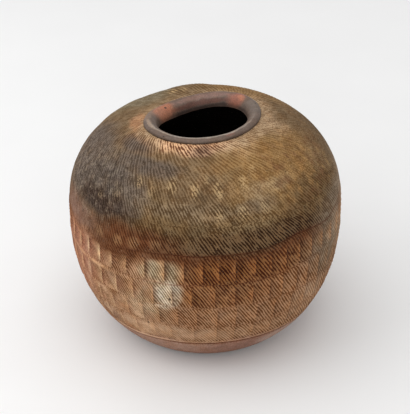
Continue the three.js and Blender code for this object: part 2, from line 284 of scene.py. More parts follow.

# Blushes of the flame and the ash, with painted sheen and shade among them: bearing, height,
# half width in degrees, half height in millimetres along the wall, clay, strength
BLUSHES_AND_PAINTED_LIGHT = (
    # back and sides of the shoulder
    (120, 205, 60, 70, "olive", 0.8),
    (60, 215, 40, 40, "gold", 0.7),
    (-172, 196, 36, 48, "ash_grey", 1),
    (-161, 184, 14, 20, "slate", 0.55),
    # left shoulder, smoked dark
    (-141, 198, 22, 30, "slate", 1),
    (-140, 177, 24, 15, "charcoal", 1),
    (-122, 192, 10, 18, "ash_grey", 0.7),
    (-126, 216, 30, 14, "slate", 0.9),
    # right shoulder, golden
    (-50, 212, 48, 48, "gold", 0.9),
    (-92, 203, 18, 30, "olive", 0.9),
    (-66, 190, 10, 11, "grey_tan", 0.7),
    (-96, 188, 30, 11, "dust", 0.8),
    (-57, 200, 20, 10, "pale_gold", 0.8),
    (-74, 176, 24, 10, "belt_pale", 0.15),
    (-28, 186, 26, 18, "khaki", 0.75),
    (-14, 197, 13, 18, "pale_gold", 0.4),
    (-73, 212, 8, 11, "khaki", 0.5),
    # round the mouth
    (-38, 229, 76, 11, "straw", 0.8),
    (-98, 229.6, 42, 15, "fan_tan", 1),
    (-58, 225, 13, 12, "fan_pale", 0.3),
    (-16, 224, 15, 14, "fan_pale", 0.4),
    (-90, 227.5, 12, 9, "fan_mauve", 0.9),
    (-146, 225, 22, 13, "fan_mauve", 0.7),
    (-147, 223.5, 18, 11, "slate", 0.85),
    (130, 214, 30, 30, "grey_olive", 0.8),
    (176, 228, 23, 9, "flame_tan", 0.85),
    # the belt under the shoulder
    (-160, 158, 18, 15, "rose", 1),
    (-140, 156, 14, 12, "rose", 0.7),
    (-122, 156, 25, 17, "rust", 1),
    # umber here: partly the clay's dark belt, partly painted shade where the shoulder's foot faces down
    (-68, 159, 32, 14, "umber", 1),
    (-20, 160, 18, 20, "grey_tan", 0.8),
    # the paddled courses, from the upper to the lowest
    (-82, 128, 20, 20, "orange", 1),
    (-60, 128, 20, 18, "orange", 0.7),
    (-80, 104, 22, 14, "orange", 0.5),
    (-28, 125, 16, 45, "grey_tan", 0.9),
    # painted grey sheen near the right edge
    (-22, 130, 8, 24, "painted_edge_sheen", 0.4),
    (-36, 78, 7, 13, "painted_edge_sheen", 0.4),
    (-22, 130, 7, 13, "painted_edge_sheen", 0.35),
    (-115, 130, 4, 11, "fan_mauve", 0.5),
    (-152, 130, 22, 22, "rose_tan", 0.95),
    (-152, 103, 8, 12, "rose", 0.4),
    (-130, 103, 6, 12, "rose", 0.45),
    (-160, 102, 24, 56, "rose_clay", 0.75),
    (-113, 122, 11, 26, "cream", 0.7),
    (-107.5, 127, 11, 15, "ash_wash", 0.95),
    (-115, 86, 12, 24, "ash_wash", 0.6),
    (-113, 78, 6, 11, "ash_wash", 0.45),
    (-104.2, 103, 5.6, 19, "pale_ash", 1),
    (-95, 104, 5, 11, "orange", 0.6),
    (-111, 103, 3.5, 11, "grey_tan", 0.5),
    (-94, 103, 5, 11, "orange", 0.3),
    (-46, 128, 8, 16, "umber", 0.35),
    (-124, 68, 20, 26, "bisque", 0.55),
    (-110, 54, 26, 14, "bisque", 0.9),
    (-138, 54, 6, 10, "rose", 0.45),
    (-88, 54, 12, 13, "bisque", 0.9),
    (-66, 54, 20, 12, "bisque", 0.45),
    (-78, 79, 8, 10, "cream", 0.5),
    (-40, 68, 17, 28, "bisque", 0.5),
    # the far right edge: painted grey sheen, the pale room reflected at the silhouette
    (6, 128, 28, 76, "painted_edge_sheen", 0.85),
    # the bare bowl
    (-115, 28, 26, 22, "terracotta", 1),
    (-70, 28, 24, 22, "terracotta_grey", 1),
    (-48, 24, 18, 17, "terracotta_pale", 1),
)

# Small spots where a few ridges are lighter: bearing, height, half width, half height,
# strength
LIGHT_RIDGE_SPOTS = (
    (-138.5, 155, 3.2, 6, 0.3), (-128, 155, 3.4, 6, 0.35), (-120, 155, 3.4, 7, 0.4),
    (-110.5, 157, 3, 6, 0.3), (-142.5, 183, 2.6, 5, 0.4), (-134, 190, 3, 8, 0.3),
    (-124, 205, 3, 8, 0.5), (-116, 200, 2.6, 8, 0.4), (-106, 207, 3, 11, 0.7),
    (-94.5, 205, 2.8, 12, 0.7), (-88.5, 213, 2.4, 7, 0.4), (-83, 205, 2.8, 11, 0.7),
    (-69.5, 208, 2.6, 11, 0.6), (-62, 214, 2.6, 9, 0.5), (-73, 186, 3, 8, 0.7), (-63, 187, 2.6, 8, 0.6),
    (-84, 186, 2.6, 7, 0.5), (-55, 200, 2.4, 7, 0.4), (112, 222, 5, 4, 0.8), (104, 223, 3, 4, 0.5),
)
LIGHT_RIDGE_CLAY = (206, 176, 130)
LIGHT_RIDGE_STRENGTH = 0.8

# How far the edges of the blushes wander, in degrees and millimetres
BLUSH_WANDER = (5, 4)

# Mottled parts: bearing, height, half width, half height, size of the blots in millimetres,
# tones of the light and the dark blots, strength
MOTTLES = (
    (-32, 202, 36, 44, 7, (180, 138, 88), (112, 76, 50), 0.6),
    (-135, 75, 34, 60, 15, (216, 178, 144), (152, 102, 72), 0.5),
    (-150, 192, 34, 44, 3, (158, 144, 124), (66, 56, 48), 0.5),
    (-75, 108, 34, 40, 13, (196, 138, 84), (92, 50, 26), 0.2),
    (-85, 196, 44, 40, 9, (176, 150, 114), (92, 74, 54), 0.35),
)
MOTTLE_CONTRAST = 1.7
MOTTLE_IN_GROOVES = 0.8
RECESS_SHADE = (74, 34, 20)
# Painted shade in the creases and in the deepened ends of the grooves
PIT_SHADE = (30, 22, 18)
# Painted shade in the pits


def linear(colour):
    """Light of a tone given from 0 to 255."""
    colour = np.clip(np.asarray(colour, float) / 255, 0, 1)
    return np.where(colour < 0.04045, colour / 12.92, ((colour + 0.055) / 1.055) ** 2.4)


def soft_oval(across, up):
    """1 in the middle of an oval, 0 outside it, for distances in shares of its half sizes."""
    return 1 - smooth_between(np.hypot(across, up), 0.4, 1.15)


def patch_share(bearing, height, centre, level, wide, tall, warp=(0, 0)):
    """1 in the middle of a soft oval on the wall, 0 outside it."""
    across = (degrees_from(bearing, centre) + warp[0]) / wide
    return soft_oval(across, (arc(height) - arc(level) + warp[1]) / tall)


def laid_over(under, share, tone):
    return under + share[..., None] * (np.asarray(tone, float) - under)


def both_laid_over(tones, share, tone, in_grooves=1):
    """One tone over both of the clay, darker in the grooves by a share of its light."""
    ridge, groove = tones
    return laid_over(ridge, share, tone), laid_over(groove, share, np.array(tone) * in_grooves)


def band_tones(height, member):
    levels = [level for level, clay in CLAY_BANDS]
    tones = np.array([CLAYS[clay][member] for level, clay in CLAY_BANDS], float)
    return np.stack([np.interp(height, levels, tones[:, channel]) for channel in range(3)], -1)


def clay_tones(bearing, height):
    """Tones of the ridges and of the grooves at places on the wall."""
    ridge, groove = band_tones(height, 0), band_tones(height, 1)
    warp = (BLUSH_WANDER[0] * cloud(bearing, height, size=26, seed=301),
            BLUSH_WANDER[1] * cloud(bearing, height, size=22, seed=302))
    for centre, level, wide, tall, clay, strength in BLUSHES_AND_PAINTED_LIGHT:
        share = strength * patch_share(bearing, height, centre, level, wide, tall, warp)
        ridge = laid_over(ridge, share, CLAYS[clay][0])
        groove = laid_over(groove, share, CLAYS[clay][1])
    for centre, level, wide, tall, strength in LIGHT_RIDGE_SPOTS:
        share = patch_share(bearing, height, centre, level, wide, tall)
        ridge = laid_over(ridge, LIGHT_RIDGE_STRENGTH * strength * share, LIGHT_RIDGE_CLAY)
    return mottled((ridge, groove), bearing, height)


def mottled(tones, bearing, height):
    for number, (centre, level, wide, tall, size, light, dark, strength) in enumerate(MOTTLES):
        share = strength * patch_share(bearing, height, centre, level, wide, tall)
        blots = MOTTLE_CONTRAST * cloud(bearing, height, size, seed=320 + 5 * number)
        tones = both_laid_over(tones, share * np.clip(blots, 0, 1), light, MOTTLE_IN_GROOVES)
        tones = both_laid_over(tones, share * np.clip(-blots, 0, 1), dark, MOTTLE_IN_GROOVES)
    return tones


# The grooves: depth in millimetres, share of it above the wall, and how it varies
GROOVE_DEPTH = 0.68
GROOVE_MEAN = 0.45
GROOVE_POWER = 1.2
DASH_DEPTH = 0.25
SHALLOWER_HEIGHTS = (200, 224)
SHALLOWER_BY = 0.5
FAINTER_HEIGHTS = (190, 204)
FAINTER_BY = 0.25
GROOVE_VARIATION = 0.35
# Length of the grooves' soft ends, and what is left of them there
FOOT_END = 1.8
HEAD_END = 1.4
LEFT_AT_ENDS = 0.15
# How the grooves wander, in shares of their spacing, and the length of their broken pieces
GROOVE_WANDER = 0.4
BROKEN_WANDER = 0.5
HOLLOW_SHIFT = 0.25
DASH_LENGTH = 4
# How far the edge between two combings wanders, in millimetres
COMBING_WANDER = 3

# The paddled hollows: depth, number round a course, and how depth and the facets' painted light vary
SCOOP_DEPTH = 1.8
SCOOPS_ROUND = 47
SCOOP_CHANCE = (0.8, 1.2)
SCOOP_LIGHT_SHARE = (0.6, 1.45)
SCOOP_SKEW = 0.6
SCOOP_FULLNESS = 0.7
# Share of a hollow over which the shade of the last crest fades
SCOOP_SHADE = 0.16
# The left side, where the lower hollows are pressed flatter and the facets' painted highlights are
# creamy
LEFT_SIDE = (-142, 24)
LEFT_FLATTENING = 0.65
# Tones of the painted highlight and painted shade on the facets, in general and on the left
# side, and their strengths, where the left side adds to that of the highlights
FACET_HIGHLIGHTS = ((200, 132, 78), (242, 212, 170))
FACET_HIGHLIGHT_STRENGTHS = (0.42, 0.45)
FACET_SHADES = ((66, 32, 15), (96, 52, 36))
FACET_SHADE_STRENGTH = 0.62
FACET_LIGHT_IN_GROOVES = 0.82

LUMP_HEIGHT = 0.45

CREASES = {
    # height of the seam: depth, reach below it, reach above it, strength of its painted shade
    BOWL_TOP: (1.5, 0.7, 0.7, 1.4),
    LOWEST_TOP: (0.5, 1.2, 2.2, 0.1),
    LOWER_TOP: (0.6, 1.2, 2.4, 0.12),
    MIDDLE_TOP: (0.9, 1.0, 2.6, 0.25),
    UPPER_TOP: (1.5, 0.8, 3.2, 0.5),
    SHOULDER_SEAM: (0.2, 2.0, 2.0, 0),
}
CREASE_SHADE_REACH = 0.8
# Where creases are pressed flat: bearing, spread in degrees, share lost
PRESSED_CREASES = {
    UPPER_TOP: ((-150, 34, 0.97), (-5, 24, 0.7)),
    MIDDLE_TOP: ((-150, 26, 0.6), (-15, 20, 0.6)),
    LOWER_TOP: ((-150, 26, 0.6), (-15, 20, 0.6)),
}

# The ledge under the middle course's top seam, on the left, that stands out with a painted highlight on
# it
LEDGE_PLACE = (-146, 16)
LEDGE_RISE = 0.6
LEDGE_DROP = 2.6
LEDGE_REACH = 2.2
LEDGE_HIGHLIGHT = (212, 166, 124)
LEDGE_HIGHLIGHT_STRENGTH = 0.45
LEDGE_HIGHLIGHT_PATCHINESS = 0.8

# The pale lip over the cut line, with a painted highlight on its left part, and the painted shade in
# the ends of the grooves over it
LIP_FOOT = 38.7
LIP_TOP = 42.8
LIP_EDGE = 0.8
LIP_CLAY = (220, 182, 150)
LIP_STRENGTH = 0.3
LIP_HIGHLIGHT_BY = 0.35
LIP_HIGHLIGHT_PLACE = (-125, 16)
TOOL_END_RISE = 0.6
TOOL_END_REACH = 0.7
TOOL_END_DEPTH = 0.5
TOOL_END_SHADE = 0.8

# Local hollows and swellings: bearing, height, half width, half height, rise
LUMPS = (
    (127, 214, 7, 9, -2.0),
    (143, 206, 16, 24, 0.8),
    (101, 219, 18, 14, 2.0),
    (-33, 120, 9, 20, -0.5),
    (70, 100, 16, 24, 0.6),
)

# Burst pits: bearing, height, radius, depth
PITS = (
    (-104.5, 98.5, 1.3, 1.8), (-115.7, 62.8, 1.0, 1.2), (-21, 66, 0.9, 0.9), (35, 120, 1.2, 1.4),
    (88, 84, 1.0, 1.2), (150, 165, 1.1, 1.3), (118, 52, 0.9, 1.0), (-170, 96, 1.0, 1.1),
)


def crests_round(front):
    """All the crests of a course in radians: the front ones, and evenly spread ones behind."""
    behind = np.linspace(front[-1], front[0] + 360, SCOOPS_ROUND + 2 - len(front))[1:-1]
    return np.radians(np.concatenate([front, behind]))


def hollows_at(bearing, crests):
    """Number of the hollow at each place, and how far across it the place is, from 0 to 1."""
    turned = crests[0] + np.mod(bearing - crests[0], 2 * math.pi)
    hollow = np.searchsorted(crests, turned, side="right") - 1
    edges = np.append(crests, crests[0] + 2 * math.pi)
    return hollow, (turned - edges[hollow]) / (edges[hollow + 1] - edges[hollow])


def scoops(bearing, height, course):
    """Depth of the paddled hollows, their number, and the painted light on their facets: 1,
    a painted highlight, on the side that climbs to the next crest, -1, painted shade, behind the last
    one."""
    crests = crests_round(course["crests"])
    hollow, across = hollows_at(bearing, crests)
    dice = np.random.default_rng(course["seed"] + 1)
    chance, facet_light_share = dice.uniform(*SCOOP_CHANCE, len(crests)), dice.uniform(*SCOOP_LIGHT_SHARE, len(crests))
    envelope = np.sin(math.pi * share_between(height, *course["scoops"])) ** SCOOP_FULLNESS
    depth = chance[hollow] * np.sin(math.pi * across**SCOOP_SKEW) * envelope
    strength = course["pressed"]
    if strength < 1:
        depth = depth * (1 - LEFT_FLATTENING * fade_round(bearing, *LEFT_SIDE))
    wear_and_facet_light = facet_light_share[hollow] * envelope * (across**3 - np.exp(-across / SCOOP_SHADE))
    return SCOOP_DEPTH * strength * depth, hollow, wear_and_facet_light * strength**2


def crease_strength(bearing, seam):
    """Share of its depth and painted shade that a crease has at a bearing."""
    strength = 1
    for centre, spread, pressed in PRESSED_CREASES.get(seam, ()):
        strength = strength * (1 - pressed * fade_round(bearing, centre, spread))
    return strength


def crease_depth(bearing, height):
    total = 0
    for seam, (depth, below, above, _) in CREASES.items():
        reach = np.where(height < seam, below, above)
        total = total + depth * crease_strength(bearing, seam) * np.exp(-np.abs(height - seam) / reach)
    return total


def ledge_share(bearing, height):
    above = height - MIDDLE_TOP + LEDGE_DROP
    return fade_round(bearing, *LEDGE_PLACE) * np.exp(-((above / LEDGE_REACH) ** 2))


def lump_height(bearing, height):
    total = LUMP_HEIGHT * cloud(bearing, height, size=60, seed=900, octaves=2)
    for centre, level, wide, tall, rise in LUMPS:
        total = total + rise * patch_share(bearing, height, centre, level, wide, tall)
    return total


def pit_share(bearing, height):
    """1 in the pits and 0 outside them, and the depth that they have."""
    share, depth = 0, 0
    for centre, level, radius, deep in PITS:
        across = degrees_from(bearing, centre) * math.radians(1) * outside_radius(level)
        away = np.hypot(across, arc(height) - arc(level))
        hole = np.exp(-((away / radius) ** 4))
        share, depth = np.maximum(share, hole), depth + deep * hole
    return share, depth


def bearings_round(columns):
    return 2 * math.pi * np.arange(columns)[None, :] / columns


def line_turn(slants, heights):
    """How far the grooves turn, in radians, from the first height to each of them."""
    radius = outside_radius(heights)
    run = np.hypot(np.diff(radius), np.diff(heights))
    return np.concatenate([[0], np.cumsum(np.tan(np.radians(slants[1:])) * run / radius[1:])])


# Where the grooves are worn or smeared: bearing, height, reach round in degrees, reach up in
# millimetres, strength
SMOOTH_SPOTS = (
    (-12, 205, 30, 30, 0.85),
    (48, 222, 40, 16, 0.7),
    (-50, 206, 26, 24, 0.6),
    (8, 170, 22, 40, 0.8),
    (-128, 55, 22, 16, 0.8),
    (-152, 66, 18, 30, 0.7),
    (-20, 90, 9, 40, 0.7),
    (-150, 157, 18, 9, 0.7),
    (-152, 116, 18, 26, 0.75),
)


def groove_strength(bearing, height, course):
    """1 where the grooves have their full depth and tone, 0 where they are lost."""
    strength = 1 - FAINTER_BY * smooth_between(height, *FAINTER_HEIGHTS)
    strength = strength + GROOVE_VARIATION * cloud(bearing, height, size=26, seed=course["seed"] + 2)
    for centre, level, wide, tall, wear_and_facet_light in SMOOTH_SPOTS:
        across, up = degrees_from(bearing, centre) / wide, (height - level) / tall
        strength = strength * (1 - wear_and_facet_light * np.exp(-((across**2 + up**2) ** 1.5)))
    ends = smooth_between(height, course["bottom"], course["bottom"] + FOOT_END)
    ends = ends * smooth_between(height, course["top"], course["top"] - HEAD_END)
    if "lip" in course:
        ends = ends * smooth_between(height, course["lip"] - 1, course["lip"])
    return np.clip(strength, 0, 1.2) * (LEFT_AT_ENDS + (1 - LEFT_AT_ENDS) * ends)


def groove_wander(bearing, height, course, hollow):
    """How far the grooves are out of their even places, in shares of their spacing."""
    seed = course["seed"]
    wander = GROOVE_WANDER * cloud(bearing, height, size=45, seed=seed + 5, octaves=2)
    unsteady = BROKEN_WANDER * course["broken"]
    wander = wander + unsteady * cloud(bearing, height, size=9, seed=seed + 8, octaves=2)
    if hollow is None:
        return wander
    most = HOLLOW_SHIFT
    shift = np.random.default_rng(seed + 6).uniform(-most, most, hollow.max() + 1)
    return wander + shift[hollow]


def groove_wave(bearing, height, columns, course, hollow):
    """The wave of the grooves, 1 on a ridge and -1 in a groove, and how it breaks up."""
    share_round = np.arange(columns)[None, :] / columns
    wander = groove_wander(bearing, height, course, hollow)
    wave, dashes = 0, 0
    edge = height + COMBING_WANDER * cloud(bearing, height, size=24, seed=course["seed"] + 9)
    for lines, foot, head in course["combings"]:
        here = smooth_between(edge, foot - 1, foot + 1) * smooth_between(edge, head + 1, head - 1)
        phase = lines * share_round + wander
        wave = wave + here * np.cos(2 * math.pi * phase)
        along = arc(height) / DASH_LENGTH
        dashes = dashes + here * lattice_noise(phase + 0.5, along, lines, course["seed"] + 7)
    return wave, dashes


def rows_of(course):
    """Heights of a course's rows of points, closer together near its seams."""
    even = np.linspace(0, 1, course["rows"])
    eased = even - 0.5 * np.sin(2 * math.pi * even) / (2 * math.pi)
    low, high = arc(course["bottom"]), arc(course["top"])
    heights = np.interp(low + eased * (high - low), WALL_ARCS, WALL_HEIGHTS)
    heights[0], heights[-1] = course["bottom"], course["top"]
    return heights


def paint_facet_light(tones, bearing, wear_and_facet_light):
    """Painted highlight where the facets climb to a crest, creamier on the left, and painted shade
    behind it.
    """
    left = fade_round(bearing, *LEFT_SIDE)
    palest, darkest = (laid_over(np.array(general, float), left, creamy)
                       for general, creamy in (FACET_HIGHLIGHTS, FACET_SHADES))
    pale = np.clip(wear_and_facet_light, 0, 1) * (FACET_HIGHLIGHT_STRENGTHS[0] + FACET_HIGHLIGHT_STRENGTHS[1] * left)
    dark = np.clip(-wear_and_facet_light, 0, 1) * FACET_SHADE_STRENGTH
    tones = both_laid_over(tones, pale, palest, FACET_LIGHT_IN_GROOVES)
    return both_laid_over(tones, dark, darkest, FACET_LIGHT_IN_GROOVES)


# The pale lip, with a painted highlight on it on the left
def pale_lip_with_highlight(tones, bearing, height):
    share = smooth_between(height, LIP_FOOT, LIP_FOOT + LIP_EDGE)
    share = share * smooth_between(height, LIP_TOP, LIP_TOP - LIP_EDGE)
    highlight = LIP_HIGHLIGHT_BY * fade_round(bearing, *LIP_HIGHLIGHT_PLACE)
    return both_laid_over(tones, share * (LIP_STRENGTH + highlight), LIP_CLAY)


# Painted shade along the creases, patchy
def crease_shade(bearing, height):
    total = 0
    for seam, (*_, shade_strength) in CREASES.items():
        patchy = 0.8 + 0.9 * cloud(bearing, height, size=30, seed=round(seam))
        patchy = patchy * crease_strength(bearing, seam)
        total = total + shade_strength * patchy * np.exp(-(((height - seam) / CREASE_SHADE_REACH) ** 2))
    return np.clip(total, 0, 1)


def groove_cut(height, wave, dashes, strength):
    """How deep the grooves are cut at each place, with the ridges standing out."""
    depth = GROOVE_DEPTH * (1 - SHALLOWER_BY * smooth_between(height, *SHALLOWER_HEIGHTS)) * strength
    return depth * ((0.5 - 0.5 * wave) ** GROOVE_POWER - GROOVE_MEAN - DASH_DEPTH * dashes)


def course_surface(course, columns):
    """Bearing, height, rise, relief and pair of tones of a course's points."""
    heights = rows_of(course)
    turn = line_turn(np.interp(heights, *course["slants"]), heights)
    bearing = bearings_round(columns) - turn[:, None]
    height = np.broadcast_to(heights[:, None], bearing.shape)
    tones = clay_tones(bearing, height)
    hollow_depth, hollow = 0, None
    if "scoops" in course:
        hollow_depth, hollow, wear_and_facet_light = scoops(bearing, height, course)
        # painted highlight and painted shade on the facets of the hollows
        tones = paint_facet_light(tones, bearing, wear_and_facet_light)
    wave, dashes = groove_wave(bearing, height, columns, course, hollow)
    strength = groove_strength(bearing, height, course)
    cut = groove_cut(height, wave, dashes, strength)
    if "lip" in course:
        away = (height - course["lip"] - TOOL_END_RISE) / TOOL_END_REACH
        ends = np.exp(-(away**2)) * smooth_between(-wave, 0, 1)
        cut = cut + TOOL_END_DEPTH * ends
        # painted shade in the deepened ends of the grooves over the cut line
        tones = tones[0], laid_over(tones[1], TOOL_END_SHADE * ends, RECESS_SHADE)
        # the pale lip and its painted highlight
        tones = pale_lip_with_highlight(tones, bearing, height)
    # painted highlight on the ledge, patchy
    ledge = ledge_share(bearing, height)
    patchy = LEDGE_HIGHLIGHT_STRENGTH + LEDGE_HIGHLIGHT_PATCHINESS * cloud(bearing, height, size=12, seed=410)
    tones = both_laid_over(tones, ledge * np.clip(patchy, 0, 0.8), LEDGE_HIGHLIGHT)
    pits, pit_depth = pit_share(bearing, height)
    # painted shade in the creases
    tones = both_laid_over(tones, crease_shade(bearing, height), RECESS_SHADE)
    # painted shade in the pits
    tones = both_laid_over(tones, pits, PIT_SHADE)
    rise = lump_height(bearing, height) + LEDGE_RISE * ledge - hollow_depth - cut
    rise = rise - crease_depth(bearing, height) - pit_depth
    relief = 0.5 + 0.5 * wave * np.clip(strength, 0, 1) + course["broken"] * dashes * strength
    return bearing, height, rise, relief, tones


# Where the tool marks break up into grains: bearing, height, half width, half height, strength
SANDY_PARTS = (
    (-150, 192, 50, 52, 1),
    (-20, 200, 40, 44, 0.6),
    (120, 200, 50, 50, 0.7),
    (-132, 76, 24, 36, 0.5),
    (-78, 178, 30, 20, 1),
    (-98, 198, 60, 52, 0.7),
)
LEAST_SAND = 0.25
PLAIN_SAND = 0.3

# Relief of a place that is neither ridge nor groove
EVEN_RELIEF = 0.5
SHARP_ANGLE = math.radians(55)


def sandiness(bearing, height):
    """How much the tool marks break up into grains, from 0 to 1."""
    total = LEAST_SAND
    for centre, level, wide, tall, strength in SANDY_PARTS:
        total = np.maximum(total, strength * patch_share(bearing, height, centre, level, wide, tall))
    return total


def store(mesh, kind, member, layers):
    """Layers of values for the shader."""
    for layer, values in layers.items():
        data = mesh.attributes.new(layer, kind, "POINT").data
        data.foreach_set(member, values.astype(np.float32).ravel())


def closed_ring(name, rings, relief, ridge, groove, sand=PLAIN_SAND):
    """A closed mesh of rings of points, where the last ring joins the first."""
    count, columns = rings.shape[:2]
    here = np.arange(count * columns).reshape(count, columns)
    above = np.roll(here, -1, 0)
    quads = np.stack([here, np.roll(here, -1, 1), np.roll(above, -1, 1), above], -1).reshape(-1)
    mesh = bpy.data.meshes.new(name)
    mesh.vertices.add(count * columns)
    mesh.vertices.foreach_set("co", (rings / METRE).astype(np.float32).ravel())
    mesh.loops.add(len(quads))
    mesh.loops.foreach_set("vertex_index", quads.astype(np.int32))
    mesh.polygons.add(len(quads) // 4)
    mesh.polygons.foreach_set("loop_start", np.arange(0, len(quads), 4, dtype=np.int32))
    mesh.update(calc_edges=True)
    mesh.shade_smooth()
    mesh.set_sharp_from_angle(angle=SHARP_ANGLE)
    sand = np.broadcast_to(sand, (count, columns))
    store(mesh, "FLOAT", "value", {"relief": relief, "sand": sand})
    opaque = np.ones((count, columns, 1))
    ridge, groove = (np.concatenate([linear(tone), opaque], -1) for tone in (ridge, groove))
    store(mesh, "FLOAT_COLOR", "color", {"ridge_tone": ridge, "groove_tone": groove})
    return mesh


# Painted shade of the inside
INSIDE_SHADE = (34, 28, 25)
INSIDE_MARKS = 0.35
COLUMNS_PER_LINE = 6


def with_inside(name, outer, inner, relief, tones, sand):
    """A member's closed mesh, from its dressed outside and its plain inside, painted dark as shade."""
    plain = np.ones(inner.shape[:2])
    dark = plain[..., None] * INSIDE_SHADE
    ridge, groove = (np.concatenate([tone, dark]) for tone in tones)
    relief = np.concatenate([relief, EVEN_RELIEF * plain])
    sand = np.concatenate([sand, PLAIN_SAND * plain])
    return closed_ring(name, np.concatenate([outer, inner]), relief, ridge, groove, sand)


def inside_of_course(course, bearing):
    """Points of a course's inside, from its top down."""
    share = np.linspace(0, 1, course["inner_rows"])[:, None]
    inner_arc = arc(course["top"]) * (1 - share) + arc(course["bottom"]) * share
    around = bearing[-1] * (1 - share) + bearing[0] * share
    level = np.broadcast_to(np.interp(inner_arc, WALL_ARCS, WALL_HEIGHTS), around.shape)
    marks = INSIDE_MARKS * cloud(around, level, size=30, seed=77, octaves=2)
    radius, z = on_the_wall(level, marks - WALL, SCARF_RUN + SLIP_GAP * share)
    return hand_built(radius, z, around, level)


def build_course(course):
    columns = course["combings"][0][0] * COLUMNS_PER_LINE
    bearing, height, rise, relief, tones = course_surface(course, columns)
    outer = hand_built(*on_the_wall(height, rise), bearing, height)
    inner = inside_of_course(course, bearing)
    return with_inside(course["name"], outer, inner, relief, tones, sandiness(bearing, height))


# The courses. Combings: lines round the vase, foot, head. Slants: heights, and the lines'
# angles from upright. Broken: how much the ridges break up. Crests: bearings in front of the
# edges between the paddle's hollows. Scoops: foot and head of the hollows. Pressed: share of
# their depth. Lip: where the grooves begin over the cut line.
COURSES = (
    dict(name="paddled_course_lowest", bottom=BOWL_TOP, top=LOWEST_TOP,
         combings=((256, 0, 300),), slants=((0,), (34,)), broken=0.35, seed=11,
         crests=(-146, -138, -130, -122, -113, -105, -95, -85, -77, -68.5, -59.5, -50.5, -42),
         rows=44, inner_rows=5, scoops=(44, 68), pressed=0.55, lip=43.2),
    dict(name="paddled_course_lower", bottom=LOWEST_TOP, top=LOWER_TOP,
         combings=((264, 0, 300),), slants=((0,), (34,)), broken=0.35, seed=21,
         crests=(-148, -140.5, -132.5, -124.5, -117, -109.5, -101.5, -93.5, -85, -77, -68, -59.5,
                 -51, -43),
         rows=38, inner_rows=5, scoops=(64, 90), pressed=0.65),
    dict(name="paddled_course_middle", bottom=LOWER_TOP, top=MIDDLE_TOP,
         combings=((268, 0, 300),), slants=((0,), (35,)), broken=0.4, seed=31,
         crests=(-152.5, -145.5, -137.5, -129, -120.5, -111.5, -103.5, -95.5, -86, -78, -70.5,
                 -63, -57, -49.5, -43.5),
         rows=38, inner_rows=5, scoops=(88, 114), pressed=0.8),
    dict(name="paddled_course_upper", bottom=MIDDLE_TOP, top=UPPER_TOP,
         combings=((266, 0, 300),), slants=((0,), (33,)), broken=0.4, seed=41,
         crests=(-152.5, -145.5, -138, -131, -123.5, -115, -106.5, -98.5, -91, -84.5, -78, -69.5,
                 -62.5, -55.5, -48.5, -41.5),
         rows=44, inner_rows=5, scoops=(116, 142.5), pressed=1),
    dict(name="lower_shoulder", bottom=UPPER_TOP, top=SHOULDER_SEAM,
         combings=((268, 0, 170), (248, 170, 300)), slants=((147, 160, 176), (35, 32, 32)),
         broken=0.55, seed=51, rows=40, inner_rows=6),
    dict(name="upper_shoulder", bottom=SHOULDER_SEAM, top=NECK_HEIGHT,
         combings=((238, 0, 194), (224, 194, 205), (172, 205, 217), (132, 217, 300)),
         slants=((176, 188, 200, 212, 222, 230), (32, 27, 27, 31, 33, 30)),
         broken=0.6, seed=61, rows=60, inner_rows=8),
)

# The smooth members: columns of points round them, and the scraping on the bowl
SMOOTH_COLUMNS = 900
SLAB_COLUMNS = 360
SLAB_HUB = 0.5
BOWL_ROWS = 36
BOWL_INNER_ROWS = 6
SCRAPING = 0.22
SCRAPED_LINES = 0.07
SCRAPED_FREE = 3


def inside_of_bowl(bearing):
    level = np.linspace(BOWL_TOP, SLAB_TOP, BOWL_INNER_ROWS)[:, None]
    share = share_between(level, SLAB_TOP, BOWL_TOP)
    around, level = np.broadcast_arrays(bearing, level)
    radius, z = on_the_wall(level, -WALL, SCARF_RUN * share)
    return hand_built(radius, np.maximum(z, SLAB_TOP), around, level)


def build_foot_bowl():
    bearing = bearings_round(SMOOTH_COLUMNS)
    level = np.linspace(SLAB_TOP, BOWL_TOP, BOWL_ROWS)[:, None]
    around, level = np.broadcast_arrays(bearing, level)
    scraping = SCRAPING * cloud(around, level, size=40, seed=5)
    lines = np.sin(level * 2.1 + 2 * cloud(around, level, size=80, seed=6))
    free = share_between(level, SLAB_TOP, SLAB_TOP + SCRAPED_FREE)
    rise = (scraping + SCRAPED_LINES * lines) * free - crease_depth(around, level)
    outer = hand_built(*on_the_wall(level, rise), around, level)
    # painted shade in the cut line's crease
    tones = both_laid_over(clay_tones(around, level), crease_shade(around, level), RECESS_SHADE)
    even = np.ones(level.shape)
    return with_inside("foot_bowl", outer, inside_of_bowl(bearing), EVEN_RELIEF * even, tones,
                       PLAIN_SAND * even)


# How uneven the coil is, and the length in millimetres of the way over it
RIM_UNEVEN = 0.07
RIM_WAY = 60
BEAD_STEPS = 15
THROAT_STEPS = 26
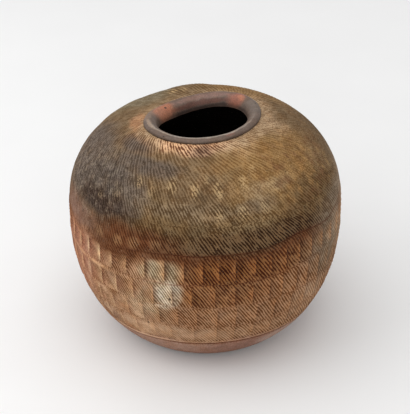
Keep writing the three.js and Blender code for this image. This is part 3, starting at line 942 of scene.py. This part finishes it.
# Tones of the rim, with painted highlights and painted shade among them: bearing, way round
# the coil from its seat (0) to the throat (1), half width in degrees, half length of the way, tone,
# strength
RIM_TONE = (98, 81, 70)
RIM_WANDER = (4, 0.05)
RIM_BLUSHES_AND_PAINTED_LIGHT = (
    (90, 0.3, 70, 0.12, (104, 78, 62), 0.8),
    (85, 0.5, 60, 0.14, (128, 98, 88), 0.8),
    (95, 0.72, 60, 0.12, (92, 56, 44), 0.85),
    # painted shade where the throat turns down into the dark inside
    (80, 0.92, 90, 0.12, (58, 44, 38), 0.9),
    (148, 0.62, 25, 0.5, (172, 112, 84), 0.9),
    (138, 0.5, 10, 0.2, (172, 104, 74), 0.5),
    (44, 0.62, 15, 0.42, (152, 90, 70), 0.75),
    (38, 0.5, 9, 0.14, (186, 122, 92), 0.6),
    (60, 0.2, 5, 0.12, (176, 150, 122), 0.5),
    (5, 0.45, 26, 0.3, (108, 94, 84), 0.7),
    (-60, 0.3, 7, 0.1, (122, 78, 62), 0.6),
    # painted highlights along the top of the lip, in front and on the left
    (-95, 0.41, 90, 0.08, (160, 148, 136), 0.85),
    (-160, 0.36, 22, 0.1, (166, 144, 124), 0.7),
    (172, 0.3, 16, 0.2, (132, 108, 90), 0.6),
    # painted shadow under the bead, all round
    (-90, 0.0, 400, 0.17, (66, 48, 34), 0.9),
)
RIM_PITS = ((139, 0.5, 1.6, 0.035), (-128, 0.2, 1.0, 0.03), (15, 0.3, 1.0, 0.03))


def rim_profile():
    """Radius and height of the coil's section, from its seat outside to its seat inside."""
    seat_radius, seat_height = on_the_wall(NECK_HEIGHT, 0, SLIP_GAP)
    inner_radius, inner_height = on_the_wall(NECK_HEIGHT, -WALL, SCARF_RUN + SLIP_GAP)
    bead_foot = seat_height + BEAD_CLEARANCE
    turn = np.linspace(0, math.pi / 2, BEAD_STEPS)
    bead = np.stack([BEAD_MIDDLE + BEAD_HALF_WIDTH * np.cos(turn),
                     bead_foot + BEAD_RISE * np.sin(turn)], -1)
    turn = np.linspace(0, math.pi / 2, THROAT_STEPS)[1:]
    throat = np.stack([BEAD_MIDDLE - (BEAD_MIDDLE - THROAT_RADIUS) * np.sin(turn),
                       bead_foot - THROAT_DROP + (BEAD_RISE + THROAT_DROP) * np.cos(turn)], -1)
    return np.concatenate([[(seat_radius, seat_height)], bead, throat, [(inner_radius, inner_height)]])


def thinned_in_front(radius, height, bearing):
    """The coil's bead is thinner in front, where it keeps to its middle and its foot."""
    bead_foot = on_the_wall(NECK_HEIGHT, 0, SLIP_GAP)[1] + BEAD_CLEARANCE
    share = 1 - BEAD_THINNING * fade_round(bearing, *THINNING_PLACE)
    bead = height > bead_foot - BEAD_CLEARANCE / 2
    thinned = np.minimum(radius, BEAD_MIDDLE + (radius - BEAD_MIDDLE) * share)
    lowered = bead_foot + (height - bead_foot) * share
    return np.where(bead, thinned, radius), np.where(bead, lowered, height)


def rim_tone(bearing, way):
    """Tone of the coil at places round it and on the way over it, painted highlights and shade
    included.
    """
    tone = np.broadcast_to(np.array(RIM_TONE, float), (*way.shape, 3))
    warp = (RIM_WANDER[0] * cloud(bearing, RIM_WAY * way, size=20, seed=650),
            RIM_WANDER[1] * cloud(bearing, RIM_WAY * way, size=16, seed=660))
    for centre, level, wide, tall, blush, strength in RIM_BLUSHES_AND_PAINTED_LIGHT:
        across = (degrees_from(bearing, centre) + warp[0]) / wide
        share = strength * soft_oval(across, (way - level + warp[1]) / tall)
        tone = laid_over(tone, share, blush)
    # painted shade of small pits on the coil
    for centre, level, wide, tall in RIM_PITS:
        away = np.hypot(degrees_from(bearing, centre) / wide, (way - level) / tall)
        tone = laid_over(tone, np.exp(-(away**4)), PIT_SHADE)
    # the inside past the throat, painted dark as shade
    return laid_over(tone, smooth_between(way, 1.0, 1.02), INSIDE_SHADE)


def build_rim():
    profile = rim_profile()
    way = np.concatenate([[0], np.cumsum(np.hypot(*np.diff(profile, axis=0).T))])
    way = np.broadcast_to((way / way[-2])[:, None], (len(profile), SMOOTH_COLUMNS))
    bearing = np.broadcast_to(bearings_round(SMOOTH_COLUMNS), way.shape)
    radius, height = (np.broadcast_to(profile[:, axis, None], way.shape) for axis in (0, 1))
    free = smooth_between(way, 0, 0.12) * (1 - smooth_between(way, 0.85, 1))
    uneven = 1 + RIM_UNEVEN * free * cloud(bearing, RIM_WAY * way, size=34, seed=640, octaves=2)
    height = NECK_HEIGHT + (height - NECK_HEIGHT) * uneven
    radius = BEAD_MIDDLE + (radius - BEAD_MIDDLE) * uneven
    radius, height = thinned_in_front(radius, height, bearing)
    rings = hand_built(radius, height, bearing, np.full(way.shape, float(NECK_HEIGHT)))
    tone = rim_tone(bearing, way)
    return closed_ring("rim_coil", rings, np.full(way.shape, EVEN_RELIEF), tone * 1.06, tone * 0.94)


def build_base_slab():
    bevel_radius, top_radius = (float(outside_radius(h)) for h in (FOOT_BEVEL, SLAB_TOP))
    profile = [(SLAB_HUB, SLAB_TOP), (SLAB_HUB, 0)]
    profile += [(FOOT_RADIUS * share, 0) for share in (0.25, 0.5, 0.75, 0.9)]
    profile += [(FOOT_RADIUS - FOOT_BEVEL, 0), (FOOT_RADIUS - FOOT_BEVEL * 0.3, FOOT_BEVEL * 0.3),
                (bevel_radius, FOOT_BEVEL)]
    profile += [(float(outside_radius(h)), h) for h in (4, 6, 8)] + [(top_radius, SLAB_TOP)]
    profile += [(top_radius * share, SLAB_TOP) for share in (0.75, 0.5, 0.25)]
    radius, height = (np.array(profile)[:, axis, None] for axis in (0, 1))
    radius, height, around = np.broadcast_arrays(radius, height, bearings_round(SLAB_COLUMNS))
    rings = hand_built(radius, height, around, height)
    relief = np.full(around.shape, EVEN_RELIEF)
    return closed_ring("base_slab", rings, relief, *clay_tones(around, height))


class Nodes:
    """A short way to add shader nodes and join them."""

    def __init__(self, material):
        material.use_nodes = True
        self.tree = material.node_tree
        self.shader = self.tree.nodes["Principled BSDF"]

    def put(self, kind, inputs=None, **settings):
        node = self.tree.nodes.new("ShaderNode" + kind)
        for setting, value in settings.items():
            setattr(node, setting, value)
        for socket, value in (inputs or {}).items():
            self.join(value, node.inputs[socket])
        return node.outputs[0]

    def join(self, value, socket):
        if isinstance(value, bpy.types.NodeSocket):
            self.tree.links.new(value, socket)
        else:
            socket.default_value = value

    def attribute(self, name, colour=True):
        node = self.tree.nodes.new("ShaderNodeAttribute")
        node.attribute_name = name
        return node.outputs["Color" if colour else "Fac"]

    def position(self):
        return self.put("TexCoord").node.outputs["Object"]

    def noise(self, size, detail=3.0, roughness=0.55):
        """Noise from 0 to 1 with blots about size millimetres across."""
        inputs = {"Vector": self.position(), "Scale": METRE / size,
                  "Detail": detail, "Roughness": roughness}
        return self.put("TexNoise", inputs)

    def span(self, value, low, high, to_low=0.0, to_high=1.0, smooth=False):
        inputs = {0: value, 1: low, 2: high, 3: to_low, 4: to_high}
        return self.put("MapRange", inputs, interpolation_type="SMOOTHSTEP" if smooth else "LINEAR")

    def math(self, operation, first, second=0.0):
        return self.put("Math", {0: first, 1: second}, operation=operation)

    def mix(self, share, first, second, blend="MIX"):
        node = self.tree.nodes.new("ShaderNodeMix")
        node.data_type, node.blend_type = "RGBA", blend
        for socket, value in ((0, share), (6, first), (7, second)):
            self.join(value, node.inputs[socket])
        return node.outputs[2]

    def grey(self, value):
        return self.put("CombineColor", {0: value, 1: value, 2: value})


# Between these a noise lies nearly everywhere
NOISE_RANGE = (0.3, 0.7)
WARM_TINT = (1.0, 0.82, 0.62, 1)
IRON = (0.03, 0.018, 0.012, 1)
FELDSPAR = (0.62, 0.5, 0.36, 1)


def tooled_clay(nodes, sand_share):
    """The ridge and groove tones, with an edge between them that sand makes ragged."""
    reach = nodes.span(sand_share, 0, 1, 0.15, 0.5)
    grains = nodes.span(nodes.noise(1.4, 2), *NOISE_RANGE, -1, 1)
    grains = nodes.math("MULTIPLY", grains, reach)
    ragged = nodes.math("ADD", nodes.attribute("relief", False), grains)
    on_ridge = nodes.span(ragged, 0.34, 0.66, smooth=True)
    return nodes.mix(on_ridge, nodes.attribute("groove_tone"), nodes.attribute("ridge_tone"))


def mottled_clay(nodes, colour, sand_share):
    """The colour varied in soft blots, in fine and coarse sand, and in warmth."""
    for noise, dark, light in ((nodes.noise(7, 4), 0.86, 1.14), (nodes.noise(0.7, 2, 0.7), 0.88, 1.12)):
        shade = nodes.span(noise, *NOISE_RANGE, dark, light)
        colour = nodes.mix(1.0, colour, nodes.grey(shade), "MULTIPLY")
    coarse = nodes.grey(nodes.span(nodes.noise(1.1, 2, 0.6), *NOISE_RANGE, 0.7, 1.3))
    colour = nodes.mix(nodes.span(sand_share, 0.2, 1, 0, 0.8), colour, coarse, "MULTIPLY")
    warm = nodes.span(nodes.noise(16, 3), 0.42, 0.66, 0, 0.35, smooth=True)
    return nodes.mix(warm, colour, WARM_TINT, "MULTIPLY")


def speckled_clay(nodes, colour, speckle):
    iron = nodes.span(nodes.noise(1.6, 1, 0.4), 0.68, 0.76, 0, speckle, smooth=True)
    colour = nodes.mix(iron, colour, IRON)
    feldspar = nodes.span(nodes.noise(1.3, 1, 0.4), 0.32, 0.25, 0, speckle * 0.3, smooth=True)
    return nodes.mix(feldspar, colour, FELDSPAR)


def clay_material(name, speckle, grain_height, roughness, sheen):
    """Fired clay: ridge and groove tones, mottled and speckled, with a sandy grain."""
    material = bpy.data.materials.new(name)
    nodes = Nodes(material)
    sand_share = nodes.attribute("sand", False)
    colour = mottled_clay(nodes, tooled_clay(nodes, sand_share), sand_share)
    nodes.join(speckled_clay(nodes, colour, speckle), nodes.shader.inputs["Base Color"])
    rough = nodes.span(nodes.noise(4, 3), *NOISE_RANGE, roughness - 0.08, roughness + 0.08)
    nodes.join(rough, nodes.shader.inputs["Roughness"])
    coarse = nodes.math("MULTIPLY", nodes.noise(3.5, 2), 0.8)
    grain = nodes.math("ADD", nodes.noise(0.9, 3, 0.65), coarse)
    bump = nodes.put("Bump", {"Strength": 0.5, "Distance": grain_height / METRE, "Height": grain})
    nodes.join(bump, nodes.shader.inputs["Normal"])
    nodes.shader.inputs["Specular IOR Level"].default_value = sheen
    return material


def paper_material():
    """The floor: matte paper, a little uneven."""
    material = bpy.data.materials.new("floor_paper")
    nodes = Nodes(material)
    tone = nodes.span(nodes.noise(160, 2), *NOISE_RANGE, 0.87, 0.89)
    nodes.join(nodes.grey(tone), nodes.shader.inputs["Base Color"])
    nodes.shader.inputs["Roughness"].default_value = 0.9
    return material


FINISHES = {
    # slot: how speckled, height of the grain in millimetres, roughness, sheen
    "foot_clay": clay_material("fired_foot_clay", 0.35, 0.35, 0.86, 0.1),
    "paddled_clay": clay_material("fired_paddled_clay", 0.5, 0.3, 0.82, 0.08),
    "shoulder_clay": clay_material("fired_shoulder_clay", 0.5, 0.28, 0.78, 0.08),
    "rim_clay": clay_material("fired_rim_clay", 0.3, 0.16, 0.56, 0.4),
}


def put_in_scene(name, data):
    thing = bpy.data.objects.new(name, data)
    bpy.context.scene.collection.objects.link(thing)
    return thing


def turn_along(thing, direction):
    thing.rotation_mode = "QUATERNION"
    thing.rotation_quaternion = direction.to_track_quat("-Z", "Y")


def add_piece(mesh, node, slot):
    piece = put_in_scene(node + "_clay", mesh)
    mesh.materials.append(FINISHES[slot])
    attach(piece, "root")
    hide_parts(node)


for course in COURSES:
    slot = "paddled_clay" if "scoops" in course else "shoulder_clay"
    add_piece(build_course(course), course["name"], slot)
add_piece(build_foot_bowl(), "foot_bowl", "foot_clay")
add_piece(build_rim(), "rim_coil", "rim_clay")
add_piece(build_base_slab(), "base_slab", "foot_clay")


# The room: a pale floor, and soft square lamps: bearing and elevation in degrees, distance
# and size in metres, power in watts
FLOOR_HALF = 6
LAMP_AIM = Vector((0, 0, 0.11))
LAMPS = {
    "soft_lamp_above": (170, 80, 1.8, 2.2, 13.2),
    "soft_lamp_left": (-165, 32, 1.3, 1.2, 4.4),
    "soft_lamp_in_front": (-95, 12, 4.0, 3.0, 47),
}
WORLD_STRENGTH = 0.67

# The photographer's place, in metres, with lens and photograph measured in its pixels
CAMERA_DISTANCE = 1.63
CAMERA_ELEVATION = math.radians(32.33)
CAMERA_LEVEL = 0.115
CAMERA_AIM = Vector((-0.0004, 0, 0.1226))
FOCAL_PIXELS = 1630
PHOTO_HEIGHT = 414
SENSOR_WIDTH = 36


def add_floor():
    mesh = bpy.data.meshes.new("floor")
    corners = [(x * FLOOR_HALF, y * FLOOR_HALF, 0) for x, y in ((-1, -1), (1, -1), (1, 1), (-1, 1))]
    mesh.from_pydata(corners, [], [(0, 1, 2, 3)])
    mesh.materials.append(paper_material())
    put_in_scene("floor", mesh)


def add_lamp(name, bearing, elevation, distance, size, power):
    data = bpy.data.lights.new(name, "AREA")
    data.shape = "SQUARE"
    data.size = size
    data.energy = power
    lamp = put_in_scene(name, data)
    around, up = math.radians(bearing), math.radians(elevation)
    away = Vector((math.cos(up) * math.cos(around), math.cos(up) * math.sin(around), math.sin(up)))
    lamp.location = LAMP_AIM + away * distance
    turn_along(lamp, -away)


def add_world():
    world = bpy.data.worlds.new("room")
    bpy.context.scene.world = world
    world.use_nodes = True
    background = world.node_tree.nodes["Background"]
    background.inputs["Color"].default_value = (1, 1, 1, 1)
    background.inputs["Strength"].default_value = WORLD_STRENGTH


def add_camera():
    data = bpy.data.cameras.new("camera")
    data.sensor_width = SENSOR_WIDTH
    data.lens = SENSOR_WIDTH * FOCAL_PIXELS / PHOTO_HEIGHT
    data.clip_start = 0.1
    camera = put_in_scene("camera", data)
    camera.location = (0, -CAMERA_DISTANCE * math.cos(CAMERA_ELEVATION),
                       CAMERA_LEVEL + CAMERA_DISTANCE * math.sin(CAMERA_ELEVATION))
    turn_along(camera, CAMERA_AIM - camera.location)
    bpy.context.scene.camera = camera


add_floor()
for name, place in LAMPS.items():
    add_lamp(name, *place)
add_world()
add_camera()
bpy.context.scene.view_settings.view_transform = "Standard"
